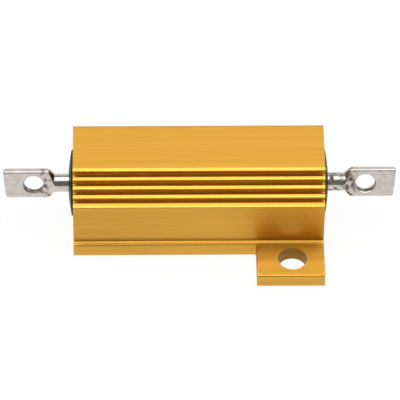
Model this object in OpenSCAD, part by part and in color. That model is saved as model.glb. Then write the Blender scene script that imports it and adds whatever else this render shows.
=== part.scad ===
// Aluminium housed power resistor. A wire-wound ceramic core sits in the bore of a
// gold anodised extrusion, moulded in with black compound, and its two leads are
// pressed flat into holed solder tags. Two diagonal lugs bolt the housing down.
//
// Frame: millimetres, +X along the length, +Z up, origin at the centre of the
// underside. The front lug lies at (+X, -Y) and the rear lug at (-X, +Y).

/* [Housing] */
// Length of the extruded housing
body_length = 19.2; // [14:0.1:40]
// Height from the mounting face to the top face
body_height = 7.5; // [6.2:0.05:12]
// Width of the top face over its two corners
top_width = 4.7; // [3.8:0.02:5.6]
// Width across the plain flanks under the ribs
waist_width = 7.9; // [6.5:0.1:9.5]
// Thickness of the base flange and of the lugs
base_thickness = 1.2; // [1:0.1:2]
// How far the base flange stands out from each flank
flange_lip = 0.36; // [0.3:0.02:1]

/* [Bore] */
// Diameter of the bore along the housing
bore_diameter = 5.1; // [4.2:0.05:6.2]
// How far the bore's axis lies below half the housing's height
axis_drop = 0.1; // [0:0.02:0.3]

/* [Cooling ribs] */
// Ribs on each shoulder, with the top corner as the first
rib_count = 5; // [4:1:6]
// Distance from rib to rib along the shoulder
rib_pitch = 0.69; // [0.62:0.01:0.84]
// Thickness of a rib
rib_thickness = 0.32; // [0.26:0.01:0.36]
// Thickness of the lowest rib, which overhangs the flank a little
last_rib_thickness = 0.4; // [0.32:0.01:0.46]
// Depth of the grooves between the ribs
rib_height = 0.5; // [0.44:0.02:0.6]
// Angle by which the ribs fan out from one to the next
rib_fan = 5; // [2:0.5:8]
// Angle by which the ribs stand steeper than square to the shoulder
rib_lean = 10; // [6:0.5:14]
// Angle at which the flat land on the tip of each rib looks up
land_facing = 72; // [64:1:80]

/* [Lugs] */
// How far a lug stands out from the edge of the flange
lug_out = 3.25; // [2.6:0.01:4.5]
// Length of a lug along the housing
lug_length = 5.2; // [4.3:0.1:7]
// Diameter of the fixing holes
lug_hole_diameter = 2.15; // [1.8:0.05:2.7]
// How far a fixing hole lies from the middle of its lug towards the housing's end
hole_to_end = 0.15; // [0:0.01:0.4]
// How far a fixing hole lies from the middle of its lug towards the flank
hole_to_flank = 0.15; // [0:0.01:0.3]

/* [Terminals] */
// Diameter of the round lead
lead_diameter = 1.4; // [1.14:0.01:1.68]
// Round length of the left lead outside the housing
neck_length_left = 1.38; // [0.8:0.02:2.5]
// Round length of the right lead outside the housing
neck_length_right = 1.6; // [0.8:0.02:2.5]
// Length over which the lead widens into the tag
flare_length = 0.5; // [0.3:0.05:1]
// Length of the flattened tag
tag_length = 3.42; // [2.8:0.02:6]
// Width of the flattened tag
tag_width = 2.34; // [1.96:0.02:2.8]
// Thickness of the flattened tag
tag_thickness = 0.62; // [0.5:0.02:0.76]
// Diameter of the hole in the tag
tag_hole_diameter = 1.55; // [1.2:0.05:1.8]
// How far the hole lies from the middle of the tag towards the lead
tag_hole_inboard = 0.55; // [0.2:0.01:0.65]
// Angle of the cut at the tag's end, which leaves the upper edge the longer
tag_slant = 5; // [0:0.5:12]
// Angle by which the left tag's front face looks up
tag_roll_left = 14; // [0:1:30]
// Angle by which the right tag's front face looks up
tag_roll_right = 18; // [0:1:30]

/* [End seals] */
// How far the moulding's end discs stand out at their rim
seal_rim = 0.14; // [0.05:0.01:0.2]
// Further rise of the shallow dome on each end disc
seal_dome = 0.24; // [0.1:0.02:0.5]

/* [Element] */
// Diameter of the ceramic core
core_diameter = 2.9; // [2.4:0.05:3.5]
// Length of the ceramic core
core_length = 12; // [10:0.1:14.4]
// Diameter of the resistance wire
wire_diameter = 0.14; // [0.11:0.01:0.2]
// Distance from turn to turn of the winding
winding_pitch = 0.5; // [0.4:0.02:1]
// Wall of the pressed end caps
cap_wall = 0.2; // [0.16:0.01:0.3]
// Depth of the cups that grip the core
cap_depth = 1.6; // [1.3:0.1:2.2]

/* [Fits] */
// Radial gap between pieces that are pressed or moulded together
fit_gap = 0.01; // [0.005:0.005:0.03]

/* [Hidden] */

round_fn = 96;       // facets on the display mesh of round surfaces
small_fn = 32;       // the same on small rounds
dome_fn = 720;       // the same on the large circle of the end domes
cut = 1;             // overshoot of cutting shapes

half_length = body_length / 2;
bore_radius = bore_diameter / 2;
axis_height = body_height / 2 - axis_drop;

// Section of the extrusion, as [across, up] points
top_half = top_width / 2;
waist_half = waist_width / 2;
base_half = waist_half + flange_lip;
rib_radius = rib_thickness / 2;
last_radius = last_rib_thickness / 2;
nose_out = 0.05;                         // lowest rib stands this far off the flank
first_rib = [top_half - rib_radius, body_height - rib_radius];
shoulder_length = (rib_count - 1) * rib_pitch;
shoulder_run = waist_half + nose_out - last_radius - first_rib[0];
shoulder_drop = sqrt(shoulder_length * shoulder_length - shoulder_run * shoulder_run);
shoulder_along = [shoulder_run, -shoulder_drop] / shoulder_length;
shoulder_out = [shoulder_drop, shoulder_run] / shoulder_length;
shoulder_angle = atan2(shoulder_run, shoulder_drop);
last_rib = first_rib + shoulder_along * shoulder_length;
rib_root = 1.2;                          // ribs start this far inside their tips
land_out = 0.1;                          // lands lie this far beyond the tip centres
land_corner = 0.06;                      // rounds at both edges of a land
tip_bulge = 0.015;                       // rounds stand this much proud of flats and sides
root_lap = 0.03;                         // groove bottoms reach this far into the ribs
bead_width = 0.2;                       // small bead along the foot of each flank
bead_height = 0.09;
bead_slope = 20;                         // fall of the bead's top, away from the flank
edge_round = 0.14;                       // rounded long edges of the extrusion

// Lugs
lug_reach = base_half + lug_out;
lug_hole = [half_length - lug_length / 2 + hole_to_end,
            lug_reach - lug_out / 2 - hole_to_flank];
mill_radius = 0.2;                       // left by the cutter where a lug meets the flange

// Terminals
tag_corner = 0.25;                       // rounded outer corners of the tag
root_half = lead_diameter * 0.4;         // half width of the pressed part inside the lead
press_lap = 0.03;                        // the lead's taper ends this far inside the tag

// Element, from the middle outwards
core_end = core_length / 2;
cap_radius = core_diameter / 2 + fit_gap + cap_wall;
cap_rim = core_end - cap_depth;
cap_face = core_end + fit_gap + cap_wall;
wire_sides = 6;
wire_steps = 16;                         // rings on each turn of the winding
wire_helix_radius = (core_diameter / 2 + fit_gap) / cos(180 / wire_steps) + wire_diameter / 2;
wire_span = 2 * (cap_rim - fit_gap) - wire_diameter;
wire_turns = floor(wire_span / winding_pitch);
winding_radius = wire_helix_radius + wire_diameter / 2 + fit_gap;

// Tip centre of rib i, counted from the top corner
function rib_tip(i) = first_rib + shoulder_along * rib_pitch * i;

// Half the thickness of rib i
function tip_radius(i) = i == rib_count - 1 ? last_radius : rib_radius;

// Unit vector along rib i, from its root to its tip; half steps lie in the grooves
function rib_way(i) =
    let (angle = shoulder_angle + rib_lean + rib_fan * ((rib_count - 1) / 2 - i))
    [cos(angle), sin(angle)];

// Width of the groove between rib i and the next at a distance below their tips
function groove_width(i, depth) =
    rib_pitch - 2 * depth * tan(rib_fan / 2) - tip_radius(i) - tip_radius(i + 1);

// Where a lead begins to widen, and where its tag begins and ends
function flare_start(neck) = half_length + neck;
function tag_start(neck) = flare_start(neck) + flare_length;
function tag_tip(neck) = tag_start(neck) + tag_length;

// A point of the winding's centre line, at n steps from its start
function wire_point(n) =
    let (angle = n * 360 / wire_steps)
    [wire_span * (n / (wire_turns * wire_steps) - 0.5),
     wire_helix_radius * cos(angle),
     wire_helix_radius * sin(angle)];

// One corner of the wire's six-sided section around a point of that line
function wire_corner(n, k) =
    let (angle = n * 360 / wire_steps, turn = k * 360 / wire_sides)
    wire_point(n) + wire_diameter / 2 * [
        cos(turn),
        sin(turn) * cos(angle),
        sin(turn) * sin(angle)];

// Centres of the two small rounds at the edges of rib i's land, the upper one first. The
// first rib's land starts at the top face and the last one's ends in the nose.
function land_ends(i) =
    let (tip = rib_tip(i),
         way = rib_way(i),
         inner = tip_radius(i) - land_corner,
         across = inner * [-way[1], way[0]],
         off = land_facing - atan2(way[1], way[0]),
         slope = inner * tan(off),
         top = body_height - land_corner,
         nose = waist_half + nose_out - land_corner,
         out = i == 0 ? (top - tip[1] - across[1]) / way[1] + slope
             : i == rib_count - 1 ? (nose - tip[0] + across[0]) / way[0] - slope
             : (land_out - land_corner) / cos(off))
    [tip + across + way * (out - slope), tip - across + way * (out + slope)];

// Lays a shape that was drawn standing on Z along the X axis of the bore
module along_bore() {
    translate([0, 0, axis_height]) rotate([0, 90, 0]) children();
}

// Rib i: a slab from inside the barrel wall to its tip, which is a land between two small
// rounds. The last rib's lower round is the nose that overhangs the flank.
module rib(i) {
    way = rib_way(i);
    across = [-way[1], way[0]];
    root = rib_tip(i) - way * rib_root;
    side = across * (tip_radius(i) - tip_bulge);
    edge = across * (land_corner - tip_bulge);
    flat = [cos(land_facing), sin(land_facing)] * (land_corner - tip_bulge);
    ends = land_ends(i);
    polygon([root + side, ends[0] + edge, ends[0] + flat, ends[1] + flat, ends[1] - edge,
             root - side]);
    for (corner = ends)
        translate(corner) circle(r = land_corner, $fn = small_fn);
}

// Round bottom of the groove between rib i and the next one
module groove_bottom(i) {
    middle = rib_tip(i + 0.5) + shoulder_along * (tip_radius(i) - tip_radius(i + 1)) / 2;
    radius = groove_width(i, rib_height) / 2 + root_lap;
    centre = middle - rib_way(i + 0.5) * (rib_height - rib_radius - radius);
    translate(centre) circle(r = radius, $fn = small_fn);
}

// One half of the section, without its bore
module half_section() {
    groove_line = rib_height - rib_radius - groove_width(0, rib_height) / 2;
    top_corner = land_ends(0)[0];
    difference() {
        polygon([
            [0, 0],
            [base_half, 0],
            [base_half, base_thickness],
            [waist_half + bead_width, base_thickness],
            [waist_half + bead_width,
             base_thickness + bead_height - bead_width * tan(bead_slope)],
            [waist_half, base_thickness + bead_height],
            [waist_half, last_rib[1]],
            last_rib,
            last_rib - shoulder_out * groove_line,
            first_rib - shoulder_out * groove_line,
            first_rib,
            top_corner,
            [top_corner[0], body_height],
            [0, body_height]]);
        for (i = [0 : rib_count - 2]) groove_bottom(i);
    }
    for (i = [0 : rib_count - 1]) rib(i);
}

// Stands a section drawn as [across, up] along the length of the housing
module extrusion(length) {
    rotate([90, 0, 90]) linear_extrude(height = length, center = true) children();
}

// The lug at (+X, -Y), with the long edges of the extrusion rounded
module front_lug() {
    inner = base_half - cut;
    translate([half_length - lug_length / 2, 0, 0])
        extrusion(lug_length)
            mirror([1, 0]) {
                translate([inner, 0])
                    square([lug_reach - edge_round - inner, base_thickness]);
                translate([inner, edge_round])
                    square([lug_reach - inner, base_thickness - 2 * edge_round]);
                for (up = [edge_round, base_thickness - edge_round])
                    translate([lug_reach - edge_round, up])
                        circle(r = edge_round, $fn = small_fn);
            }
    // Cutter radius in the corner between the lug and the flange
    translate([half_length - lug_length, -base_half, 0])
        linear_extrude(height = base_thickness)
            difference() {
                translate([-mill_radius, -mill_radius])
                    square([mill_radius + cut / 2, mill_radius + cut / 2]);
                translate([-mill_radius, -mill_radius])
                    circle(r = mill_radius, $fn = small_fn);
            }
}

module housing() {
    color("goldenrod")
    difference() {
        union() {
            extrusion(body_length) {
                half_section();
                mirror([1, 0]) half_section();
            }
            for (turn = [0, 180]) rotate([0, 0, turn]) front_lug();
        }
        along_bore()
            cylinder(d = bore_diameter, h = body_length + 2 * cut, center = true, $fn = round_fn);
        for (side = [-1, 1])
            translate([side * lug_hole[0], -side * lug_hole[1], -cut])
                cylinder(d = lug_hole_diameter, h = base_thickness + 2 * cut, $fn = round_fn);
    }
}

// Half of the moulding's outline, turned about the bore's axis: a plain barrel, a
// short rim outside the housing and a shallow dome on it
module seal_profile() {
    outer = bore_radius - fit_gap;
    rim = half_length + seal_rim;
    dome_radius = (outer * outer + seal_dome * seal_dome) / (2 * seal_dome);
    square([outer, rim]);
    intersection() {
        translate([0, rim - cut]) square([outer, seal_dome + cut]);
        translate([0, rim + seal_dome - dome_radius]) circle(r = dome_radius, $fn = dome_fn);
    }
}

module moulding() {
    color("#1f2124")
    difference() {
        along_bore()
            for (turn = [0, 180])
                rotate([turn, 0, 0]) rotate_extrude($fn = round_fn) seal_profile();
        along_bore() {
            cylinder(r = winding_radius, h = 2 * cap_rim + cut, center = true, $fn = round_fn);
            for (side = [-1, 1])
                translate([0, 0, side * (cap_rim + cap_face) / 2])
                    cylinder(r = cap_radius + fit_gap, h = cap_face - cap_rim + 2 * fit_gap,
                             center = true, $fn = round_fn);
            cylinder(d = lead_diameter + 2 * fit_gap, center = true, $fn = round_fn,
                     h = 2 * flare_start(max(neck_length_left, neck_length_right)));
        }
    }
}

module ceramic_core() {
    color("ivory")
    along_bore()
        cylinder(d = core_diameter, h = core_length, center = true, $fn = round_fn);
}

module resistance_wire() {
    rings = wire_turns * wire_steps;
    points = [for (n = [0 : rings], k = [0 : wire_sides - 1]) wire_corner(n, k)];
    walls = [for (n = [0 : rings - 1], k = [0 : wire_sides - 1])
        let (next = (k + 1) % wire_sides)
        [n * wire_sides + k, n * wire_sides + next,
         (n + 1) * wire_sides + next, (n + 1) * wire_sides + k]];
    start_face = [for (k = [wire_sides - 1 : -1 : 0]) k];
    end_face = [for (k = [0 : wire_sides - 1]) rings * wire_sides + k];
    color("#b9a58c")
    translate([0, 0, axis_height])
        polyhedron(points = points, faces = concat([start_face], walls, [end_face]));
}

// A pressed cup on the end of the core; side is -1 at the left and 1 at the right
module end_cap(side) {
    color("silver")
    translate([side * cap_rim, 0, axis_height])
        rotate([0, side * 90, 0])
            difference() {
                cylinder(r = cap_radius, h = cap_face - cap_rim, $fn = round_fn);
                translate([0, 0, -cut])
                    cylinder(d = core_diameter + 2 * fit_gap, h = cap_depth + fit_gap + cut,
                             $fn = round_fn);
            }
}

module end_cap_left() { end_cap(-1); }
module end_cap_right() { end_cap(1); }

// Outline of the pressed part, from its root in the lead to its slanted end, with the
// hole. The end is measured at the middle of the tag's width.
module tag_outline() {
    length = flare_length + tag_length;
    corner_up = tag_width / 2 - tag_corner;
    corner_back = tag_corner / cos(tag_slant);
    corners = [for (up = [-1, 1])
        [length - corner_back + up * corner_up * tan(tag_slant), up * corner_up]];
    square_off = tag_corner * [cos(tag_slant), -sin(tag_slant)];
    difference() {
        union() {
            polygon([
                [0, -root_half],
                [flare_length, -tag_width / 2],
                corners[0] - [0, tag_corner],
                corners[0] + square_off,
                corners[1] + square_off,
                corners[1] + [0, tag_corner],
                [flare_length, tag_width / 2],
                [0, root_half]]);
            for (corner = corners)
                translate(corner) circle(r = tag_corner, $fn = small_fn);
        }
        translate([flare_length + tag_length / 2 - tag_hole_inboard, 0])
            circle(d = tag_hole_diameter, $fn = round_fn);
    }
}

// Side outline of the lead: full depth at first, then pressed down into the tag
module lead_taper(start, neck) {
    end = tag_start(neck) + 2 * press_lap;
    deep = lead_diameter / 2 + press_lap;
    flat = tag_thickness / 2 - press_lap;
    polygon([
        [start, -deep], [flare_start(neck), -deep], [end, -flat],
        [end, flat], [flare_start(neck), deep], [start, deep]]);
}

// One lead with its tag, drawn towards +X: welded to the cap, round through the
// seal, then pressed flat. The tag's front face looks up by the roll angle.
module terminal(neck, roll) {
    weld_face = cap_face + fit_gap;
    color("lightgray")
    translate([0, 0, axis_height]) rotate([-roll, 0, 0]) {
        intersection() {
            translate([weld_face, 0, 0]) rotate([0, 90, 0])
                cylinder(d = lead_diameter, h = tag_tip(neck) - weld_face, $fn = round_fn);
            linear_extrude(height = 2 * lead_diameter, center = true)
                lead_taper(weld_face, neck);
        }
        translate([flare_start(neck), tag_thickness / 2, 0]) rotate([90, 0, 0])
            linear_extrude(height = tag_thickness) tag_outline();
    }
}

module terminal_left() { mirror([1, 0, 0]) terminal(neck_length_left, tag_roll_left); }
module terminal_right() { terminal(neck_length_right, tag_roll_right); }

housing();
moulding();
ceramic_core();
resistance_wire();
end_cap_left();
end_cap_right();
terminal_left();
terminal_right();
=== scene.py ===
"""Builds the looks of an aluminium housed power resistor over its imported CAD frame.

Sizes are in millimetres in the classes below and become metres where a mesh is placed.
The axes are the part's own: +X along the leads, +Z up, the origin at the middle of the
underside, the front lug at (+X, -Y) and the rear lug at (-X, +Y).
"""

import contextlib
import logging
import math
from dataclasses import dataclass, replace
from enum import Enum
from typing import Any, Callable, Iterator, Sequence

import bmesh
import bpy
from mathutils import Matrix, Vector


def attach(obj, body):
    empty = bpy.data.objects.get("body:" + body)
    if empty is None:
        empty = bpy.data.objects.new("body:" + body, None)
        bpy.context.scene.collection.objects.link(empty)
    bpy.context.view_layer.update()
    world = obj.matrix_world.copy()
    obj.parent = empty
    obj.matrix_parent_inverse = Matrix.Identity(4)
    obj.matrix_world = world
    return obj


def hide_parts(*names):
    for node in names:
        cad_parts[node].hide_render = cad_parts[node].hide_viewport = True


log = logging.getLogger("resistor")
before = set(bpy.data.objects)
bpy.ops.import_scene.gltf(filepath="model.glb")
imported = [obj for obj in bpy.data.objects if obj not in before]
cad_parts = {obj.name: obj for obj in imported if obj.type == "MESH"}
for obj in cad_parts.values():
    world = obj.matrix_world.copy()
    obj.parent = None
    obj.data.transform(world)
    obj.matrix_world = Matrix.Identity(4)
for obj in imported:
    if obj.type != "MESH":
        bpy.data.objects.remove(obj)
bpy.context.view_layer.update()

MM = 0.001
TINY = 0.01  # tolerance in millimetres with which faces and edges are recognised
FACING = 0.9  # a face looks along an axis where its normal has at least this much of it
HOUSING_LENGTH = 19.2
AXIS_HEIGHT = 3.65  # of the bore and both leads, above the underside
WELD_FACE = 6.22  # from the middle to the start of each lead, just clear of its end cap
BORE_STEPS = 128  # flats round the bore and round the moulding that fills it
Point = tuple[float, float]
Loc = tuple[float, float, float]


class Element(Enum):
    """What a selection picks in edit mode."""

    VERT = "verts"
    EDGE = "edges"
    FACE = "faces"


class Side(Enum):
    """The end of the housing that a piece belongs to, as the sign of its x."""

    LEFT = -1
    RIGHT = 1


class ToolMarks(Enum):
    """How a face of the housing was cut, which sets the way its fine lines run."""

    EXTRUDED = "extruded"
    SAWN = "sawn"
    # The drilled material also carries the painted shade of the lug holes' walls
    DRILLED = "drilled"


# --------------------------------------------------------------------------------------
# Modelling helpers
# --------------------------------------------------------------------------------------


def metres(point: Sequence[float]) -> Vector:
    """Turns a place in millimetres into one in metres."""
    return Vector(point) * MM


def deselect_all() -> None:
    """Leaves no object selected."""
    bpy.ops.object.select_all(action="DESELECT")


def pick(piece: bpy.types.Object) -> None:
    """Selects one object alone and makes it the active one."""
    deselect_all()
    piece.select_set(True)
    bpy.context.view_layer.objects.active = piece


def primitive(operator: Callable[..., Any], name: str, **settings: Any) -> bpy.types.Object:
    """Adds a primitive with nothing else selected.

    Args:
        operator: The operator that adds it, such as bpy.ops.mesh.primitive_cube_add.
        name: The new object's name.
        settings: The operator's own settings, lengths in metres.

    Returns:
        The new object.
    """
    deselect_all()
    operator(**settings)
    made = bpy.context.active_object
    made.name = name
    made.data.name = name
    return made


@contextlib.contextmanager
def editing(piece: bpy.types.Object, element: Element) -> Iterator[None]:
    """Opens a mesh in edit mode with nothing selected, and leaves edit mode at the end.

    Args:
        piece: The object to edit.
        element: What the operators inside select.
    """
    pick(piece)
    bpy.ops.object.mode_set(mode="EDIT")
    bpy.ops.mesh.select_mode(type=element.name)
    bpy.ops.mesh.select_all(action="DESELECT")
    try:
        yield
    finally:
        bpy.ops.object.mode_set(mode="OBJECT")


def choose(piece: bpy.types.Object, element: Element, test: Callable[[Any], bool]) -> None:
    """Selects what passes a test, and nothing else, in the mesh being edited.

    Args:
        piece: The object in edit mode.
        element: What to select.
        test: Gets each vertex, edge or face and says whether it is wanted.
    """
    bpy.ops.mesh.select_all(action="DESELECT")
    mesh = bmesh.from_edit_mesh(piece.data)
    wanted = [item for item in getattr(mesh, element.value) if test(item)]
    for item in wanted:
        item.select_set(True)
    bmesh.update_edit_mesh(piece.data)


def centre_of(edge: Any) -> Vector:
    """Middle of an edge, in millimetres."""
    return (edge.verts[0].co + edge.verts[1].co) / 2 / MM


def turn_of(edge: Any) -> float:
    """Angle in degrees between the two faces of an edge, 0 where it is open."""
    if len(edge.link_faces) != 2:
        return 0.0
    return math.degrees(edge.calc_face_angle(0.0))


def apply_modifier(piece: bpy.types.Object, kind: str, **settings: Any) -> None:
    """Adds a modifier with its settings and applies it.

    Args:
        piece: The object to change.
        kind: The modifier's type.
        settings: Its properties.
    """
    pick(piece)
    modifier = piece.modifiers.new(kind.title(), kind)
    for key, value in settings.items():
        setattr(modifier, key, value)
    bpy.ops.object.modifier_apply(modifier=modifier.name)


def carve(piece: bpy.types.Object, cutter: bpy.types.Object) -> None:
    """Cuts one shape out of another and removes the cutter."""
    apply_modifier(piece, "BOOLEAN", operation="DIFFERENCE", solver="EXACT", object=cutter)
    bpy.data.objects.remove(cutter)


def fix_normals(piece: bpy.types.Object) -> None:
    """Merges doubled vertices and points every face outwards."""
    with editing(piece, Element.VERT):
        bpy.ops.mesh.select_all(action="SELECT")
        bpy.ops.mesh.remove_doubles(threshold=0.0005 * MM)
        bpy.ops.mesh.normals_make_consistent(inside=False)


def smooth(piece: bpy.types.Object, angle: float) -> None:
    """Shades a piece smooth up to an angle and keeps its large faces flat.

    Args:
        piece: The object to shade.
        angle: Sharpest turn in degrees that is still shaded smooth.
    """
    pick(piece)
    bpy.ops.object.shade_smooth_by_angle(angle=math.radians(angle))
    apply_modifier(piece, "WEIGHTED_NORMAL", keep_sharp=True, weight=80)


def arc(centre: Point, radius: float, start: float, end: float, steps: int) -> list[Point]:
    """Points on an arc.

    Args:
        centre: The arc's centre.
        radius: The arc's radius.
        start: Angle of the first point, in radians.
        end: Angle of the last point, in radians.
        steps: Number of straight steps.

    Returns:
        The points, both ends included.
    """
    angles = [start + (end - start) * i / steps for i in range(steps + 1)]
    return [
        (centre[0] + radius * math.cos(a), centre[1] + radius * math.sin(a)) for a in angles
    ]


def outline_face(name: str, places: Sequence[Vector], filled: bool = True) -> bpy.types.Object:
    """Adds a circle with one corner for each place and moves its corners there.

    Args:
        name: The new object's name.
        places: The outline's corners in order, in metres.
        filled: Whether the outline gets a face.

    Returns:
        The new object.
    """
    made = primitive(
        bpy.ops.mesh.primitive_circle_add,
        name,
        vertices=len(places),
        radius=MM,
        fill_type="NGON" if filled else "NOTHING",
    )
    for vert, place in zip(made.data.vertices, places):
        vert.co = place
    made.data.update()
    return made


def hole_cutter(name: str, radius: float, thickness: float, chamfer: float) -> bpy.types.Object:
    """A round cutter on Z, from a wall of the given thickness that lies on z = 0.

    Args:
        name: The cutter's name.
        radius: The hole's radius.
        thickness: Thickness of the wall that it cuts.
        chamfer: Width of the chamfer that it leaves on both rims.

    Returns:
        The cutter.
    """
    spare = 0.5
    made = primitive(
        bpy.ops.mesh.primitive_circle_add,
        name,
        vertices=96,
        radius=(radius + chamfer + spare) * MM,
        fill_type="NGON",
        location=(0, 0, -spare * MM),
    )
    bpy.ops.object.transform_apply(location=True, rotation=True, scale=True)
    steps = (
        (spare + chamfer, radius / (radius + chamfer + spare)),
        (thickness - 2 * chamfer, 1.0),
        (chamfer + spare, (radius + chamfer + spare) / radius),
    )
    with editing(made, Element.FACE):
        bpy.ops.mesh.select_all(action="SELECT")
        for rise, scale in steps:
            bpy.ops.mesh.extrude_region_move(
                TRANSFORM_OT_translate={"value": (0, 0, rise * MM)}
            )
            bpy.ops.transform.resize(value=(scale, scale, 1))
    fix_normals(made)
    return made


# --------------------------------------------------------------------------------------
# Materials
# --------------------------------------------------------------------------------------


def linear(colour: str) -> tuple[float, float, float, float]:
    """Turns an sRGB hex colour into a linear one with full alpha."""
    parts = [int(colour[i : i + 2], 16) / 255 for i in (1, 3, 5)]
    red, green, blue = (
        c / 12.92 if c <= 0.04045 else ((c + 0.055) / 1.055) ** 2.4 for c in parts
    )
    return red, green, blue, 1.0


def per(*sizes: float) -> Loc:
    """Mapping scale that makes a pattern of unit size as large as the sizes, in mm."""
    x, y, z = (1 / (size * MM) for size in sizes)
    return x, y, z


def add_node(
    tree: bpy.types.NodeTree,
    kind: str,
    inputs: dict[str | int, Any] | None = None,
    **settings: Any,
) -> bpy.types.Node:
    """Adds a node with its settings, values and links.

    Args:
        tree: The material's node tree.
        kind: The node's type.
        inputs: A value or another node's output for each socket that is set.
        settings: The node's own properties.

    Returns:
        The new node.
    """
    made = tree.nodes.new(kind)
    for key, value in settings.items():
        setattr(made, key, value)
    for key, value in (inputs or {}).items():
        if isinstance(value, bpy.types.NodeSocket):
            tree.links.new(value, made.inputs[key])
        else:
            made.inputs[key].default_value = value
    return made


def ranged(
    tree: bpy.types.NodeTree,
    value: Any,
    low: float,
    high: float,
    to_low: float = 0.0,
    to_high: float = 1.0,
) -> bpy.types.NodeSocket:
    """Adds a clamped remap of one range to another and returns its value."""
    ends = {"From Min": low, "From Max": high, "To Min": to_low, "To Max": to_high}
    return add_node(tree, "ShaderNodeMapRange", {"Value": value, **ends}).outputs[0]


def maths(tree: bpy.types.NodeTree, operation: str, *values: Any) -> bpy.types.NodeSocket:
    """Adds a sum, a product or the like and returns its value."""
    inputs = dict(enumerate(values))
    return add_node(tree, "ShaderNodeMath", inputs, operation=operation).outputs[0]


def blend(
    tree: bpy.types.NodeTree, factor: Any, low: Any, high: Any, kind: str = "RGBA"
) -> bpy.types.NodeSocket:
    """Adds a mix of two colours or values and returns its result."""
    inputs = {"Factor": factor, "A": low, "B": high}
    return add_node(tree, "ShaderNodeMix", inputs, data_type=kind).outputs["Result"]


def noise(
    tree: bpy.types.NodeTree, place: Any, scale: Loc, detail: float, roughness: float = 0.6
) -> bpy.types.NodeSocket:
    """Adds a noise over the object's own coordinates and returns its value.

    Args:
        tree: The material's node tree.
        place: The object's coordinates.
        scale: The mapping scale that per() gives.
        detail: How many finer layers it has.
        roughness: How strong those layers are.

    Returns:
        The noise's value.
    """
    mapped = add_node(
        tree, "ShaderNodeMapping", {"Vector": place, "Scale": scale}
    ).outputs[0]
    return add_node(
        tree,
        "ShaderNodeTexNoise",
        {"Vector": mapped, "Scale": 1.0, "Detail": detail, "Roughness": roughness},
    ).outputs[0]


def bump(tree: bpy.types.NodeTree, height: Any, depth: float) -> bpy.types.NodeSocket:
    """Adds a bump that is at most as deep as depth, in mm, and returns its normal."""
    inputs = {"Height": height, "Strength": 1.0, "Distance": depth * MM}
    return add_node(tree, "ShaderNodeBump", inputs).outputs[0]


def new_material(name: str) -> tuple[bpy.types.Material, bpy.types.NodeTree]:
    """Makes an empty node material and returns it with its tree."""
    material = bpy.data.materials.new(name)
    material.use_nodes = True
    material.node_tree.nodes.clear()
    return material, material.node_tree


def finish_material(tree: bpy.types.NodeTree, shader: bpy.types.Node) -> None:
    """Links a shader to a new material output."""
    add_node(tree, "ShaderNodeOutputMaterial", {"Surface": shader.outputs[0]})


@dataclass(frozen=True)
class AnodisedAluminium:
    """Extruded aluminium with a dyed anodic film: a coloured metal under a hard clear skin.

    The die and the cutters leave fine parallel lines, which stretch every reflection
    across them. The film gives a thin white gloss over the gold.
    """

    name: str
    marks: ToolMarks
    light: str = "#EFB64C"
    dark: str = "#E4AC40"
    line_width: float = 0.09
    line_length: float = 9.0
    band_width: float = 0.55
    band_length: float = 22.0
    rough_low: float = 0.44
    rough_high: float = 0.52
    depth: float = 0.004
    coat: float = 0.12
    coat_rough: float = 0.15

    def stretch(self, width: float, length: float) -> Loc:
        """Mapping scale of lines of one width and length, along this face's tool marks."""
        if self.marks is ToolMarks.EXTRUDED:
            return per(length, width, width)
        if self.marks is ToolMarks.SAWN:
            return per(width, length, width)
        return per(length, length, width)

    def build(self) -> bpy.types.Material:
        """Makes the material."""
        material, tree = new_material(self.name)
        place = add_node(tree, "ShaderNodeTexCoord").outputs["Object"]
        lines = noise(tree, place, self.stretch(self.line_width, self.line_length), 4.0)
        bands = noise(tree, place, self.stretch(self.band_width, self.band_length), 2.0)
        both = maths(tree, "ADD", lines, bands)
        tint = ranged(tree, both, 0.75, 1.25)
        shader = add_node(
            tree,
            "ShaderNodeBsdfPrincipled",
            {
                "Base Color": blend(tree, tint, linear(self.dark), linear(self.light)),
                "Metallic": 1.0,
                "Roughness": ranged(tree, lines, 0.3, 0.7, self.rough_high, self.rough_low),
                "Normal": bump(tree, both, self.depth),
                "Coat Weight": self.coat,
                "Coat Roughness": self.coat_rough,
            },
        )
        finish_material(tree, shader)
        return material


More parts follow.
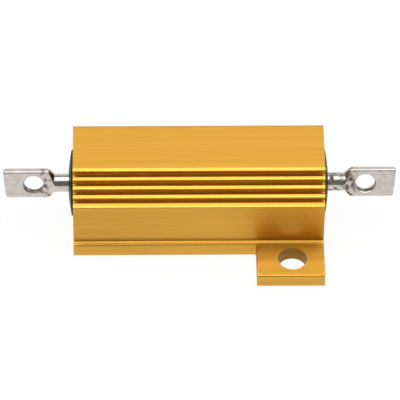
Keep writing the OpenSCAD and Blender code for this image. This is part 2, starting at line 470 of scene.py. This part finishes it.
@dataclass(frozen=True)
class TinPlate:
    """Tin-plated copper wire, pressed and dipped: a bright warm grey, softly mottled.

    The plating is smooth but uneven, so reflections wander. Soldering flux leaves dry
    brown spots on it near the seal.
    """

    name: str
    side: Side
    stain_from: float
    stain_to: float
    stain_level: float
    light: str = "#E0D9D2"
    dark: str = "#CEC7C0"
    stain: str = "#6E5F4B"
    stain_size: float = 0.42
    stain_fade: float = 0.17
    stain_core: float = 0.55
    stain_rough: float = 0.6
    stain_metallic: float = 0.35
    mottle: float = 0.45
    grain: float = 0.09
    rough_low: float = 0.16
    rough_high: float = 0.3
    depth: float = 0.008

    def build(self) -> bpy.types.Material:
        """Makes the material."""
        material, tree = new_material(self.name)
        place = add_node(tree, "ShaderNodeTexCoord").outputs["Object"]
        mottle = self.blots(tree, place, self.mottle, 3.0)
        grain = self.blots(tree, place, self.grain, 2.0)
        patches = ranged(tree, mottle, 0.35, 0.65)
        metal = blend(tree, patches, linear(self.dark), linear(self.light))
        spots = self.stains(tree, place)
        clean_rough = ranged(tree, grain, 0.3, 0.7, self.rough_low, self.rough_high)
        shader = add_node(
            tree,
            "ShaderNodeBsdfPrincipled",
            {
                "Base Color": blend(tree, spots, metal, linear(self.stain)),
                "Metallic": ranged(tree, spots, 0.0, 1.0, 1.0, self.stain_metallic),
                "Roughness": blend(tree, spots, clean_rough, self.stain_rough, "FLOAT"),
                "Normal": bump(tree, mottle, self.depth),
            },
        )
        finish_material(tree, shader)
        return material

    def stains(self, tree: bpy.types.NodeTree, place: Any) -> bpy.types.NodeSocket:
        """Spots of flux between two distances along the lead, as a factor."""
        along = add_node(tree, "ShaderNodeSeparateXYZ", {0: place}).outputs["X"]
        middle = self.side.value * (self.stain_from + self.stain_to) / 2 * MM
        reach = (self.stain_to - self.stain_from) / 2 * MM
        away = maths(tree, "ABSOLUTE", maths(tree, "SUBTRACT", along, middle))
        zone = ranged(tree, away, self.stain_core * reach, reach, 1.0, 0.0)
        spots = self.blots(tree, place, self.stain_size, 4.0)
        spots = ranged(tree, spots, self.stain_level, self.stain_level + self.stain_fade)
        return maths(tree, "MULTIPLY", zone, spots)

    def blots(
        self, tree: bpy.types.NodeTree, place: Any, size: float, detail: float
    ) -> bpy.types.NodeSocket:
        """Adds a noise with round blots of one size, in mm, and returns its value."""
        return noise(tree, place, per(size, size, size), detail, 0.55)


@dataclass(frozen=True)
class Grained:
    """A plain material whose look is a fine grain: moulded compound, ceramic or alloy.

    The grain breaks up the colour, the gloss and the surface by a little each.
    """

    name: str
    light: str
    dark: str
    size: Loc
    rough_low: float
    rough_high: float
    depth: float
    metallic: float = 0.0
    specular: float = 0.5

    def build(self) -> bpy.types.Material:
        """Makes the material."""
        material, tree = new_material(self.name)
        place = add_node(tree, "ShaderNodeTexCoord").outputs["Object"]
        grain = noise(tree, place, per(*self.size), 4.0)
        tint = ranged(tree, grain, 0.3, 0.7)
        shader = add_node(
            tree,
            "ShaderNodeBsdfPrincipled",
            {
                "Base Color": blend(tree, tint, linear(self.dark), linear(self.light)),
                "Metallic": self.metallic,
                "Specular IOR Level": self.specular,
                "Roughness": ranged(tree, grain, 0.3, 0.7, self.rough_low, self.rough_high),
                "Normal": bump(tree, grain, self.depth),
            },
        )
        finish_material(tree, shader)
        return material


# --------------------------------------------------------------------------------------
# Pieces
# --------------------------------------------------------------------------------------


@dataclass
class Housing:
    """The finned extrusion with its flange, its two diagonal lugs and its bore."""

    length: float = HOUSING_LENGTH
    height: float = 7.5
    top_width: float = 4.7
    waist_width: float = 7.9
    base_thickness: float = 1.2
    flange_lip: float = 0.36
    bead_width: float = 0.2
    bead_height: float = 0.09
    bead_slope: float = 20.0
    bore_diameter: float = 5.1
    axis_height: float = AXIS_HEIGHT
    rib_count: int = 5
    rib_pitch: float = 0.69
    rib_thickness: float = 0.32
    last_rib_thickness: float = 0.4
    rib_height: float = 0.5
    rib_fan: float = 5.0
    rib_lean: float = 10.0
    land_facing: float = 72.0
    land_out: float = 0.1
    land_corner: float = 0.06
    nose_out: float = 0.05
    lug_out: float = 3.25
    lug_length: float = 5.2
    lug_hole_diameter: float = 2.15
    lug_hole_x: float = 7.15
    lug_hole_y: float = 5.785
    mill_radius: float = 0.2
    long_round: float = 0.13
    end_round: float = 0.03
    hole_chamfer: float = 0.02
    square_turn: float = 60.0
    sharp_turn: float = 55.0
    # Painted shade: darker gold for the walls of the lug holes, where shade falls inside them
    painted_shade_hole_light: str = "#A87C23"
    painted_shade_hole_dark: str = "#8E6618"

    @property
    def base_half(self) -> float:
        """Half the width over the flange."""
        return self.waist_width / 2 + self.flange_lip

    def tip_radius(self, i: int) -> float:
        """Half the thickness of rib i, counted from the top corner."""
        last = i == self.rib_count - 1
        return (self.last_rib_thickness if last else self.rib_thickness) / 2

    @property
    def first_tip(self) -> Vector:
        """Middle of the first rib near its tip, as (across, up) from the origin."""
        radius = self.tip_radius(0)
        return Vector((self.top_width / 2 - radius, self.height - radius))

    @property
    def shoulder(self) -> Vector:
        """Step from the first rib's tip to the last one's."""
        length = (self.rib_count - 1) * self.rib_pitch
        last_radius = self.tip_radius(self.rib_count - 1)
        run = self.waist_width / 2 + self.nose_out - last_radius - self.first_tip.x
        return Vector((run, -math.sqrt(length * length - run * run)))

    def rib_tip(self, i: float) -> Vector:
        """Middle of rib i near its tip; half steps lie between two ribs."""
        return self.first_tip + self.shoulder * i / (self.rib_count - 1)

    def rib_angle(self, i: float) -> float:
        """Angle in radians at which rib i stands, from level."""
        square_on = math.atan2(self.shoulder.x, -self.shoulder.y)
        middle = (self.rib_count - 1) / 2
        return square_on + math.radians(self.rib_lean + self.rib_fan * (middle - i))

    def groove(self, i: int) -> list[Point]:
        """Round bottom of the groove between rib i and the next, upper wall first."""
        above, below, between = (self.rib_angle(i + part) for part in (0, 1, 0.5))
        upper, lower, out = (
            Vector((math.cos(angle), math.sin(angle))) for angle in (above, below, between)
        )
        wall = self.rib_tip(i) + Vector((upper.y, -upper.x)) * self.tip_radius(i)
        facing = self.rib_tip(i + 1) - Vector((lower.y, -lower.x)) * self.tip_radius(i + 1)
        # The two walls would meet at an apex far inside; the round touches both of them
        apex = wall + upper * ((facing - wall).cross(lower) / upper.cross(lower))
        depth = self.rib_height - self.tip_radius(i)
        floor = (self.rib_tip(i + 0.5) - apex).dot(out) - depth
        radius = floor / (1 / math.sin((above - below) / 2) - 1)
        centre = apex + out * (floor + radius)
        start, end = above + math.pi / 2, below + 3 * math.pi / 2
        return arc((centre.x, centre.y), radius, start, end, 14)

    def land_corners(self, i: int) -> tuple[Point, Point]:
        """Centres of the two small rounds on rib i's tip, the upper one first."""
        angle = self.rib_angle(i)
        tip = self.rib_tip(i)
        way = Vector((math.cos(angle), math.sin(angle)))
        inner = self.tip_radius(i) - self.land_corner
        across = Vector((-way.y, way.x)) * inner
        off = math.radians(self.land_facing) - angle
        slope = inner * math.tan(off)
        if i == 0:
            top = self.height - self.land_corner
            out = (top - tip.y - across.y) / way.y + slope
        elif i == self.rib_count - 1:
            nose = self.waist_width / 2 + self.nose_out - self.land_corner
            out = (nose - tip.x + across.x) / way.x - slope
        else:
            out = (self.land_out - self.land_corner) / math.cos(off)
        upper = tip + across + way * (out - slope)
        lower = tip - across + way * (out + slope)
        return tuple(upper), tuple(lower)

    def half_outline(self) -> list[Point]:
        """One side of the section, from the top face down to the underside."""
        places: list[Point] = []
        last = self.rib_count - 1
        waist = self.waist_width / 2
        facing = math.radians(self.land_facing)
        for i in range(self.rib_count):
            upper, lower = self.land_corners(i)
            start = self.rib_angle(i) + math.pi / 2
            end = self.rib_angle(i) - math.pi / 2
            if i == 0:
                start = math.pi / 2
            elif i == last:
                end = -math.acos((waist - lower[0]) / self.land_corner)
            places += arc(upper, self.land_corner, start, facing, 8)
            places += arc(lower, self.land_corner, facing, end, 10)
            if i < last:
                places += self.groove(i)
        foot = self.base_thickness + self.bead_height
        fall = self.bead_width * math.tan(math.radians(self.bead_slope))
        places += [
            (waist, foot),
            (waist + self.bead_width, foot - fall),
            (waist + self.bead_width, self.base_thickness),
            (self.base_half, self.base_thickness),
            (self.base_half, 0.0),
        ]
        return places

    def extrude_body(self) -> bpy.types.Object:
        """Pushes the section out along X in three lengths, so that the lugs can grow."""
        half = self.half_outline()
        full = half + [(-y, z) for y, z in reversed(half)]
        end = -self.length / 2
        body = outline_face("housing_gold", [metres((end, y, z)) for y, z in full])
        middle = self.length - 2 * self.lug_length
        with editing(body, Element.FACE):
            bpy.ops.mesh.select_all(action="SELECT")
            for run in (self.lug_length, middle, self.lug_length):
                bpy.ops.mesh.extrude_region_move(
                    TRANSFORM_OT_translate={"value": (run * MM, 0, 0)}
                )
        fix_normals(body)
        return body

    def grow_lugs(self, body: bpy.types.Object) -> None:
        """Pulls each lug out of the flange's edge and rounds its inner corner."""
        for sign in (1, -1):
            x = sign * (self.length - self.lug_length) / 2

            def flange_edge(face: Any, x: float = x, y: float = -sign * self.base_half) -> bool:
                """Says whether a face is the stretch of flange edge where the lug grows."""
                centre = face.calc_center_median() / MM
                return abs(centre.x - x) < 0.1 and abs(centre.y - y) < TINY

            with editing(body, Element.FACE):
                choose(body, Element.FACE, flange_edge)
                bpy.ops.mesh.extrude_region_move(
                    TRANSFORM_OT_translate={"value": (0, -sign * self.lug_out * MM, 0)}
                )
            inner = sign * (self.length / 2 - self.lug_length)

            def corner(edge: Any, x: float = inner, y: float = -sign * self.base_half) -> bool:
                """Says whether an edge is the upright in the corner behind the lug."""
                at = centre_of(edge)
                upright = abs((edge.verts[1].co - edge.verts[0].co).z) > 0.9 * MM
                return upright and abs(at.x - x) < TINY and abs(at.y - y) < TINY

            with editing(body, Element.EDGE):
                choose(body, Element.EDGE, corner)
                bpy.ops.mesh.bevel(
                    offset=self.mill_radius * MM, segments=6, affect="EDGES"
                )

    def soften_edges(self, body: bpy.types.Object) -> None:
        """Rounds the long edges of flange and lugs, then breaks every other sharp edge."""

        def long_edge(edge: Any) -> bool:
            """Says whether an edge is on the level outline of the flange or a lug."""
            at = centre_of(edge)
            level = abs((edge.verts[1].co - edge.verts[0].co).z) < TINY * MM
            outer = abs(at.y) > self.base_half - TINY and abs(at.x) < self.length / 2 - TINY
            return level and outer and turn_of(edge) > self.square_turn

        def sharp_edge(edge: Any) -> bool:
            """Says whether an edge is still sharp."""
            return turn_of(edge) > self.sharp_turn

        with editing(body, Element.EDGE):
            choose(body, Element.EDGE, long_edge)
            bpy.ops.mesh.bevel(offset=self.long_round * MM, segments=4, affect="EDGES")
        with editing(body, Element.EDGE):
            choose(body, Element.EDGE, sharp_edge)
            bpy.ops.mesh.bevel(offset=self.end_round * MM, segments=2, affect="EDGES")

    def drill(self, body: bpy.types.Object) -> None:
        """Cuts the bore along the housing and the fixing hole in each lug."""
        bore = primitive(
            bpy.ops.mesh.primitive_cylinder_add,
            "bore_cutter",
            vertices=BORE_STEPS,
            radius=self.bore_diameter / 2 * MM,
            depth=(self.length + 2) * MM,
            location=(0, 0, self.axis_height * MM),
            rotation=(0, math.pi / 2, 0),
        )
        carve(body, bore)
        for sign in (1, -1):
            hole = hole_cutter(
                "hole_cutter",
                self.lug_hole_diameter / 2,
                self.base_thickness,
                self.hole_chamfer,
            )
            hole.location = metres((sign * self.lug_hole_x, -sign * self.lug_hole_y, 0))
            carve(body, hole)

    def dress(self, body: bpy.types.Object) -> None:
        """Gives the extruded, sawn and drilled faces each their own tool marks, and paints
        shade onto the walls of the lug holes.
        """
        for marks in ToolMarks:
            finish = AnodisedAluminium(f"gold_anodised_aluminium_{marks.value}", marks)
            if marks is ToolMarks.DRILLED:
                # Painted shade: the walls of the lug holes get darker gold colours that stand
                # for the shade inside the holes
                finish = replace(finish, light=self.painted_shade_hole_light, dark=self.painted_shade_hole_dark)
            body.data.materials.append(finish.build())
        rim = self.lug_hole_diameter / 2 + TINY
        for face in body.data.polygons:
            centre = face.center / MM
            away = math.hypot(abs(centre.x) - self.lug_hole_x, abs(centre.y) - self.lug_hole_y)
            face.material_index = 0
            if abs(face.normal.x) > FACING and abs(centre.x) > self.length / 2 - TINY:
                face.material_index = 1
            # The walls of the lug holes take the material with the painted shade
            elif away < rim and abs(face.normal.z) < FACING and centre.x * centre.y < 0:
                face.material_index = 2

    def build(self) -> bpy.types.Object:
        """Models the housing, dresses it and puts it in place of its CAD node."""
        body = self.extrude_body()
        self.grow_lugs(body)
        self.soften_edges(body)
        self.drill(body)
        fix_normals(body)
        smooth(body, 40)
        self.dress(body)
        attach(body, "root")
        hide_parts("housing")
        return body


@dataclass
class Moulding:
    """The black compound that fills the bore and domes slightly at both ends."""

    housing_length: float = HOUSING_LENGTH
    axis_height: float = AXIS_HEIGHT
    radius: float = 2.54
    rim: float = 0.14
    rim_round: float = 0.05
    dome: float = 0.24
    lead_radius: float = 0.71
    winding_radius: float = 1.66
    cap_radius: float = 1.67
    cap_from: float = 4.4
    cap_to: float = WELD_FACE

    def end_outline(self) -> list[Point]:
        """Right half of the outline as (along, radius), from the lead's hole outwards."""
        rim = self.housing_length / 2 + self.rim
        flat = self.radius - self.rim_round
        sphere = (flat * flat + self.dome * self.dome) / (2 * self.dome)
        steps = 14
        places: list[Point] = []
        for i in range(steps + 1):
            r = self.lead_radius + (flat - self.lead_radius) * i / steps
            places.append((rim + self.dome - sphere + math.sqrt(sphere**2 - r * r), r))
        places += [
            (rim - self.rim_round * (1 - math.cos(t)), flat + self.rim_round * math.sin(t))
            for t in (math.radians(30), math.radians(60), math.radians(90))
        ]
        return places

    def build(self) -> bpy.types.Object:
        """Spins the outline about the bore's axis and dresses the piece."""
        outer = self.end_outline()
        inner = [
            (self.cap_to, self.lead_radius),
            (self.cap_to, self.cap_radius),
            (self.cap_from, self.cap_radius),
            (self.cap_from, self.winding_radius),
        ]
        right = list(reversed(inner)) + outer
        loop = right + [(-x, r) for x, r in reversed(right)]
        places = [metres((x, 0, self.axis_height + r)) for x, r in loop]
        body = outline_face("moulding_black", places, filled=False)
        with editing(body, Element.VERT):
            bpy.ops.mesh.select_all(action="SELECT")
            bpy.ops.mesh.spin(
                steps=BORE_STEPS,
                angle=2 * math.pi,
                center=(0, 0, self.axis_height * MM),
                axis=(1, 0, 0),
            )
        fix_normals(body)
        smooth(body, 35)
        finish = Grained(
            "black_moulded_epoxy",
            "#15181B",
            "#0A0C0D",
            (0.12, 0.12, 0.12),
            0.38,
            0.55,
            0.004,
            specular=0.22,
        )
        body.data.materials.append(finish.build())
        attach(body, "root")
        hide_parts("moulding")
        return body


@dataclass
class Terminal:
    """A round lead that leaves the seal and is pressed flat into a holed solder tag."""

    side: Side
    neck: float
    roll: float
    finish: TinPlate
    edge_finish: TinPlate
    housing_length: float = HOUSING_LENGTH
    axis_height: float = AXIS_HEIGHT
    lead_radius: float = 0.7
    weld_face: float = WELD_FACE
    flare: float = 0.6
    reach: float = 3.92
    slant: float = 5.0
    tag_width: float = 2.34
    tag_thickness: float = 0.62
    edge_round: float = 0.13
    plan_round: float = 0.25
    rim_round: float = 0.08
    hole_radius: float = 0.775
    hole_back: float = 2.26
    hole_chamfer: float = 0.04
    lead_in: float = 0.3

    @property
    def flare_start(self) -> float:
        """Where the lead begins to widen."""
        return self.housing_length / 2 + self.neck

    @property
    def tip(self) -> float:
        """Where the tag ends, at the middle of its width."""
        return self.flare_start + self.reach

    def lean(self, z: float) -> float:
        """How much further than its middle the tag's end reaches at a height of z."""
        return z * math.tan(math.radians(self.slant))

    def ring(
        self, x: float, width: float, depth: float, corner: float, slanted: bool = False
    ) -> list[Vector]:
        """Corners of one cross-section of the terminal.

        Args:
            x: Its distance along the lead.
            width: Half its size up and down.
            depth: Half its size from front to back.
            corner: Radius of its rounded corners.
            slanted: Whether it leans with the tag's end.

        Returns:
            The corners in order, in metres, before the tag's roll.
        """
        steps = 12
        places: list[Vector] = []
        for quarter, (sy, sz) in enumerate(((1, 1), (-1, 1), (-1, -1), (1, -1))):
            for i in range(steps):
                angle = math.pi / 2 * (quarter + (i + 0.5) / steps)
                y = sy * (depth - corner) + corner * math.cos(angle)
                z = sz * (width - corner) + corner * math.sin(angle)
                places.append(metres((x + (self.lean(z) if slanted else 0.0), y, z)))
        return places

    def stations(self) -> list[list[Vector]]:
        """Cross-sections from the weld to the tip."""
        round_lead = (self.lead_radius,) * 3
        half, thin = self.tag_width / 2, self.tag_thickness / 2
        flat = (half, thin, self.edge_round)
        straight = (self.weld_face, self.flare_start - self.lead_in)
        rings = [self.ring(x, *round_lead) for x in straight]
        steps = 12
        for i in range(steps + 1):
            part = i / steps
            ease = part * part * (3 - 2 * part)
            sizes = [a + (b - a) * ease for a, b in zip(round_lead, flat)]
            rings.append(self.ring(self.flare_start + self.flare * part, *sizes))
        turns = 8
        for i in range(turns + 1):
            angle = math.pi / 2 * i / turns
            x = self.tip - self.plan_round * (1 - math.sin(angle))
            width = half - self.plan_round * (1 - math.cos(angle))
            inside = max(0.0, x - self.tip + self.rim_round)
            left = math.sqrt(max(0.0, self.rim_round**2 - inside**2))
            depth = thin - self.rim_round + left
            rings.append(self.ring(x, width, depth, self.edge_round, slanted=True))
        return rings

    def press(self) -> bpy.types.Object:
        """Pushes the lead out, station by station, and lets each end take its section."""
        rings = self.stations()
        body = outline_face(f"terminal_{self.side.name.lower()}_tinned", rings[0])
        count = len(rings[0])
        with editing(body, Element.FACE):
            bpy.ops.mesh.select_all(action="SELECT")
            for before, ring in zip(rings, rings[1:]):
                step = ring[0].x - before[0].x
                bpy.ops.mesh.extrude_region_move(TRANSFORM_OT_translate={"value": (step, 0, 0)})
                mesh = bmesh.from_edit_mesh(body.data)
                moved = [vert for vert in mesh.verts if vert.select]
                nearest = [
                    min(range(count), key=lambda i: (before[i].yz - vert.co.yz).length_squared)
                    for vert in moved
                ]
                for vert, index in zip(moved, nearest):
                    vert.co = ring[index]
                bmesh.update_edit_mesh(body.data)
        return body

    def punch(self, body: bpy.types.Object) -> None:
        """Punches the tag's hole and dresses the tag and the wall of the hole."""
        hole = hole_cutter(
            "hole_cutter", self.hole_radius, self.tag_thickness, self.hole_chamfer
        )
        hole_x = self.tip - self.hole_back
        hole.data.transform(
            Matrix.Translation(metres((hole_x, self.tag_thickness / 2, 0)))
            @ Matrix.Rotation(math.pi / 2, 4, "X")
        )
        carve(body, hole)
        for finish in (self.finish, self.edge_finish):
            body.data.materials.append(finish.build())
        rim = self.hole_radius + TINY
        for face in body.data.polygons:
            centre = face.center / MM
            in_hole = math.hypot(centre.x - hole_x, centre.z) < rim
            face.material_index = 1 if in_hole and abs(face.normal.y) < 0.5 else 0

    def build(self) -> bpy.types.Object:
        """Models the terminal, dresses it and puts it in place of its CAD node."""
        body = self.press()
        fix_normals(body)
        self.punch(body)
        place = Matrix.Translation(metres((0, 0, self.axis_height))) @ Matrix.Rotation(
            math.radians(-self.roll), 4, "X"
        )
        if self.side is Side.LEFT:
            place = Matrix.Scale(-1, 4, (1, 0, 0)) @ place
        body.data.transform(place)
        fix_normals(body)
        smooth(body, 40)
        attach(body, "root")
        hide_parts(f"terminal_{self.side.name.lower()}")
        return body


@dataclass
class SealedElement:
    """The sealed element: its core, winding and end caps stay as the CAD made them."""

    def dress(self) -> None:
        """Gives each hidden CAD node its own material."""
        ceramic = Grained(
            "steatite_ceramic", "#E9E5DA", "#D6D1C4", (0.08, 0.08, 0.08), 0.6, 0.8, 0.004
        )
        alloy = Grained(
            "nickel_chrome_wire", "#8A8176", "#6B645B", (0.3, 0.05, 0.05), 0.3, 0.45, 0.002, 1.0
        )
        steel = Grained(
            "plated_steel", "#C9C8C6", "#AFAEAC", (0.2, 0.2, 0.2), 0.25, 0.4, 0.002, 1.0
        )
        finishes = {
            "ceramic_core": ceramic.build(),
            "resistance_wire": alloy.build(),
            "end_cap_left": steel.build(),
        }
        finishes["end_cap_right"] = finishes["end_cap_left"]
        for node, material in finishes.items():
            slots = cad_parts[node].material_slots
            if slots:
                for slot in slots:
                    slot.material = material
            else:
                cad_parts[node].data.materials.append(material)
            log.info("%s dressed with %s", node, material.name)


# --------------------------------------------------------------------------------------
# Studio
# --------------------------------------------------------------------------------------


@dataclass
class Studio:
    """A white floor, a white sky and large soft lamps."""

    floor_size: float = 3000.0
    floor_colour: str = "#F4F4F4"
    floor_glow: float = 0.95
    floor_mirrored: float = 0.9
    floor_drop: float = 0.02
    sky_level: float = 0.15

    def floor(self) -> None:
        """Lays a white floor that keeps a faint shadow."""
        plane = primitive(
            bpy.ops.mesh.primitive_plane_add,
            "studio_floor",
            size=self.floor_size * MM,
            location=(0, 0, -self.floor_drop * MM),
        )
        material, tree = new_material("white_paper_floor")
        paper = add_node(
            tree, "ShaderNodeBsdfDiffuse", {"Color": linear(self.floor_colour)}
        ).outputs[0]
        path = add_node(tree, "ShaderNodeLightPath").outputs
        seen = path["Is Camera Ray"]
        strength = ranged(tree, seen, 0.0, 1.0, self.floor_mirrored, 1.0)
        glow = add_node(
            tree, "ShaderNodeEmission", {"Color": (1, 1, 1, 1), "Strength": strength}
        ).outputs[0]
        for kind in ("Is Glossy Ray", "Is Transmission Ray"):
            seen = maths(tree, "MAXIMUM", seen, path[kind])
        share = maths(tree, "MULTIPLY", seen, self.floor_glow)
        mixed = add_node(tree, "ShaderNodeMixShader", {0: share, 1: paper, 2: glow})
        finish_material(tree, mixed)
        plane.data.materials.append(material)

    def sky(self) -> None:
        """Makes the world white for the camera and glass, and a dim soft white light for
        everything else.
        """
        world = bpy.data.worlds.new("studio_sky")
        bpy.context.scene.world = world
        world.use_nodes = True
        tree = world.node_tree
        tree.nodes.clear()
        path = add_node(tree, "ShaderNodeLightPath").outputs
        seen = maths(tree, "MAXIMUM", path["Is Camera Ray"], path["Is Transmission Ray"])
        level = ranged(tree, seen, 0.0, 1.0, self.sky_level, 1.0)
        sky = add_node(tree, "ShaderNodeBackground", {"Color": (1, 1, 1, 1), "Strength": level})
        add_node(tree, "ShaderNodeOutputWorld", {"Surface": sky.outputs[0]})

    def lamp(self, name: str, place: Loc, facing: Loc, size: Point, level: float) -> None:
        """Hangs a soft lamp that the camera itself does not see.

        Args:
            name: The lamp's name.
            place: Its middle, in millimetres.
            facing: The way it shines.
            size: Its width and height, in millimetres.
            level: How bright its face is, where 1 is white.
        """
        deselect_all()
        bpy.ops.object.light_add(type="AREA", location=metres(place))
        lamp = bpy.context.active_object
        lamp.name = name
        lamp.data.shape = "RECTANGLE"
        lamp.data.size, lamp.data.size_y = size[0] * MM, size[1] * MM
        lamp.data.energy = level * math.pi * lamp.data.size * lamp.data.size_y
        lamp.rotation_euler = Vector(facing).to_track_quat("-Z", "Y").to_euler()
        lamp.visible_camera = False

    def build(self) -> None:
        """Sets up floor, sky and lamps."""
        self.floor()
        self.sky()
        self.lamp("overhead_softbox", (0, 70, 500), (0, 0, -1), (1100, 407), 2.85)
        self.lamp("rear_softbox", (0, 600, 200), (0, -1, 0), (1400, 400), 0.72)


@dataclass
class Camera:
    """The camera, far off and well above the part, with a long lens."""

    elevation: float = 47.0
    to_left: float = 1.45
    roll: float = 0.8
    distance: float = 320.0
    lens: float = 374.4
    sensor: float = 36.0
    clip: Point = (0.01, 50.0)
    target: Loc = (0.0, 0.0, 3.7)
    offset: Point = (0.138, -1.415)

    def build(self) -> None:
        """Places the camera and makes it the scene's."""
        rise, turn, roll = (math.radians(a) for a in (self.elevation, self.to_left, self.roll))
        ahead = Vector(
            (math.sin(turn) * math.cos(rise), math.cos(turn) * math.cos(rise), -math.sin(rise))
        )
        right = Vector((math.cos(turn), -math.sin(turn), 0))
        up = right.cross(ahead)
        right, up = (
            math.cos(roll) * right + math.sin(roll) * up,
            math.cos(roll) * up - math.sin(roll) * right,
        )
        place = (
            Vector(self.target)
            - self.distance * ahead
            + self.offset[0] * right
            + self.offset[1] * up
        )
        deselect_all()
        bpy.ops.object.camera_add(location=place * MM)
        camera = bpy.context.active_object
        turned = Matrix((right, up, -ahead)).transposed()
        camera.rotation_euler = turned.to_euler()
        camera.data.sensor_width = self.sensor
        camera.data.lens = self.lens
        camera.data.clip_start, camera.data.clip_end = self.clip
        bpy.context.scene.camera = camera


def tinned_terminal(side: Side, neck: float, roll: float, stain: Loc) -> Terminal:
    """Describes one terminal, whose hole has a duller wall than the rest.

    Args:
        side: The end of the housing that it leaves.
        neck: Round length of lead outside the housing.
        roll: Angle in degrees by which the tag is rolled about the lead.
        stain: Where the flux spots start and end along the lead, and their level.

    Returns:
        The terminal, not yet modelled.
    """
    name = f"tin_plate_{side.name.lower()}"
    wall = TinPlate(f"{name}_hole", side, 11.0, 14.0, 0.44, "#A8A29A", "#7A746C")
    return Terminal(side, neck, roll, TinPlate(name, side, *stain), wall)


def main() -> None:
    """Builds the part and its studio, piece by piece."""
    logging.basicConfig(level=logging.INFO, format="%(name)s: %(message)s")
    scene = bpy.context.scene
    scene.view_settings.view_transform = "Standard"
    builders = (
        Housing(),
        Moulding(),
        tinned_terminal(Side.LEFT, 1.38, 14.0, (11.2, 12.3, 0.5)),
        tinned_terminal(Side.RIGHT, 1.6, 18.0, (9.6, 12.4, 0.46)),
    )
    for builder in builders:
        piece = builder.build()
        log.info("%s: %d faces", piece.name, len(piece.data.polygons))
    SealedElement().dress()
    Studio().build()
    Camera().build()


if __name__ == "__main__":
    main()
